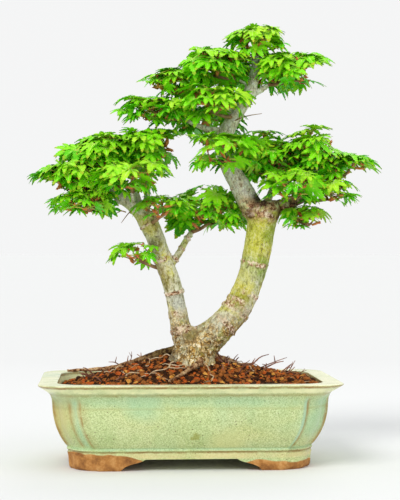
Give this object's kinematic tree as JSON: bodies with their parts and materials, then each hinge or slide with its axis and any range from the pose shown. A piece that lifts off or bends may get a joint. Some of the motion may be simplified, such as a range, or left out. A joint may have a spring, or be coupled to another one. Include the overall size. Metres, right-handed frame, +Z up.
{
  "type": "potted japanese maple bonsai",
  "caption": "Bonsai maple with forked stems and layered pads of lobed leaves, in a glazed rectangular pot on low feet.",
  "frame": {"origin": "on the ground, at the middle of the underside of the whole plant's bounding box", "axes": "+Z up, +X along the pot's front to the right as seen from the front, +Y from the front to the back"},
  "size_m": [0.2956, 0.17, 0.3647],
  "materials": {
    "glaze": "pale green speckled glaze, brown where it thins at the edges, bare clay on the feet",
    "soil": "coarse granular potting mix of fired clay, lava and bark",
    "bark": "smooth olive bark with pale grey patches and ringed scars",
    "root": "dry brown surface roots",
    "foliage": "bright green deeply lobed leaves, reddish at the twig joints"
  },
  "bodies": {
    "root": {"trunk": "bark", "left_stem": "bark", "leader_lower": "bark", "leader_upper": "bark", "bough_left_main": "bark", "bough_right_main": "bark", "bough_centre": "bark", "root_left": "root", "root_front": "root", "root_back": "root", "bough_left_top": "bark", "bough_left_inner": "bark", "bough_left_low": "bark", "bough_left_front": "bark", "bough_left_back": "bark", "bough_right_inner": "bark", "bough_right_tip": "bark", "bough_right_low": "bark", "bough_right_lowest": "bark", "bough_right_back": "bark", "bough_top_left": "bark", "bough_top_right": "bark", "bough_top_far_left": "bark", "bough_upper_left_tip": "bark", "bough_top_back": "bark", "bough_upper_back": "bark", "leaves_left_outer": "foliage", "leaves_left_top": "foliage", "leaves_left_inner": "foliage", "leaves_left_low": "foliage", "leaves_left_front": "foliage", "leaves_left_back": "foliage", "leaves_left_tuft": "foliage", "leaves_low_left_spray": "foliage", "leaves_centre_pad": "foliage", "leaves_leader_front": "foliage", "leaves_right_inner": "foliage", "leaves_right_top": "foliage", "leaves_right_tip": "foliage", "leaves_right_low": "foliage", "leaves_right_lowest": "foliage", "leaves_right_front": "foliage", "leaves_right_back": "foliage", "leaves_apex": "foliage", "leaves_top_left": "foliage", "leaves_top_right": "foliage", "leaves_top_far_left": "foliage", "leaves_upper_left_tip": "foliage", "leaves_upper_front": "foliage", "leaves_top_back": "foliage", "leaves_upper_back": "foliage", "pot": "glaze", "soil": "soil"}
  },
  "joints": []
}
